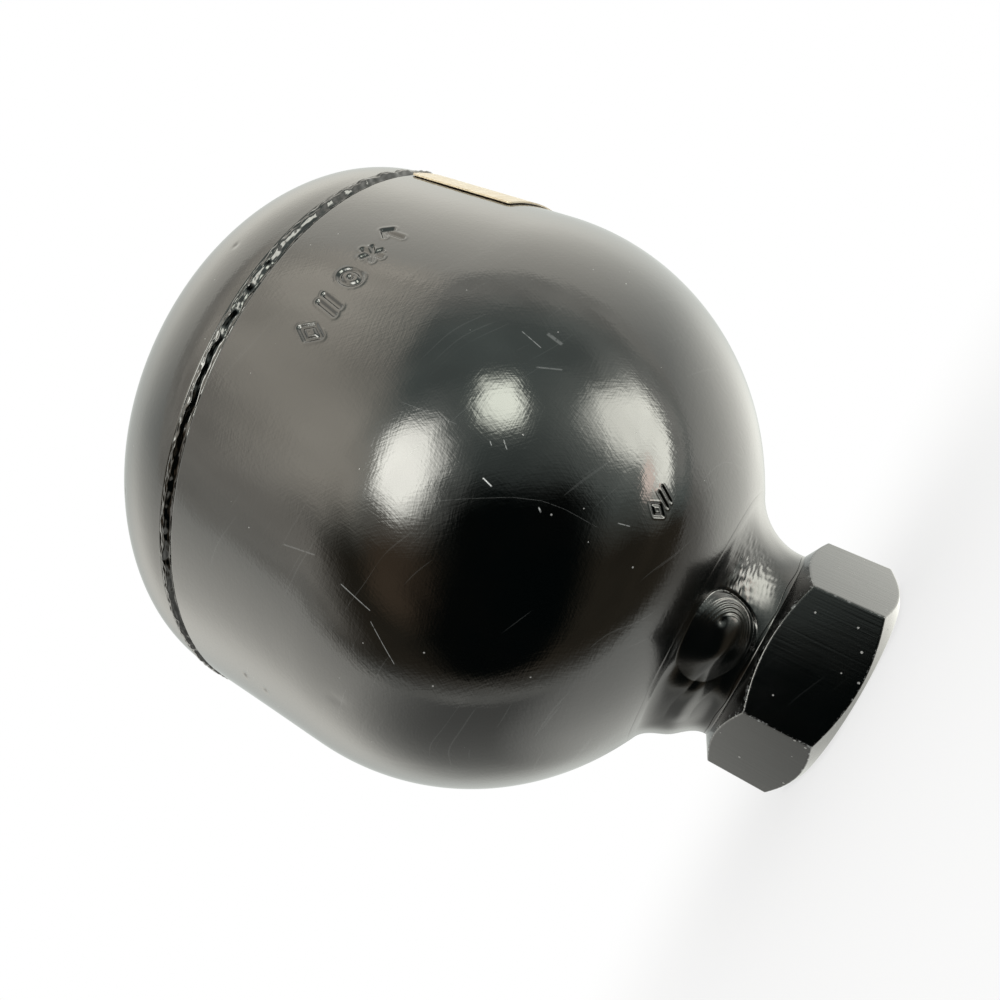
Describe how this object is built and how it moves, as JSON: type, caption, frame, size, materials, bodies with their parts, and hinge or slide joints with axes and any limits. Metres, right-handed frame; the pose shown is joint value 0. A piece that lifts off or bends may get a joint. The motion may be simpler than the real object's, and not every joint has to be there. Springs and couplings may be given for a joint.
{
  "type": "hydraulic accumulator",
  "caption": "Welded diaphragm accumulator: squat black steel shell with a girth weld, a hexagon port fitting, a charging boss on the gas end and a closing button inside.",
  "frame": {"origin": "centre of the port's end face, on which the part stands", "axes": "+Z along the vessel's axis from the port to the gas end; the hexagon has corners on +X and -X"},
  "size_m": [0.1222, 0.1222, 0.163],
  "materials": {
    "shell_enamel": "gloss black enamel on drawn steel",
    "weld_enamel": "gloss black enamel over a rippled weld",
    "fitting_enamel": "gloss black enamel over turned and milled steel",
    "bare_steel": "oiled, machined",
    "zinc_steel": "zinc plated",
    "button_metal": "turned",
    "nitrile": "matt moulded",
    "seal_rubber": "smooth",
    "plate_tan": "satin tan anodised",
    "adhesive": "matt film"
  },
  "bodies": {
    "vessel": {"oil_shell": "shell_enamel", "gas_shell": "shell_enamel", "waist_weld": "weld_enamel", "clamping_ring": "bare_steel", "diaphragm": "nitrile", "port_fitting": "fitting_enamel", "port_weld": "weld_enamel", "gas_boss": "fitting_enamel", "gas_boss_weld": "weld_enamel", "nameplate": "plate_tan", "nameplate_adhesive": "adhesive"},
    "button": {"valve_button": "button_metal"},
    "screw_seal": {"charging_screw_seal": "seal_rubber"},
    "screw": {"charging_screw": "zinc_steel"}
  },
  "joints": [
    {"name": "button_lift", "type": "slide", "parent": "vessel", "child": "button", "axis": [0, 0, 1], "range_m": [0, 0.06405], "stiffness_N_per_m": 20},
    {"name": "seal_lift", "type": "slide", "parent": "vessel", "child": "screw_seal", "axis": [0, 0, 1], "range_m": [0, 0.00125]},
    {"name": "screw_turn", "type": "hinge", "parent": "screw_seal", "child": "screw", "pos_m": [0, 0, 0.15509], "axis": [0, 0, 1], "range_deg": [0, 360]}
  ],
  "couplings": [
    {"joint": "seal_lift", "follows": "screw_turn", "m_per_rad": 0.00019894}
  ]
}
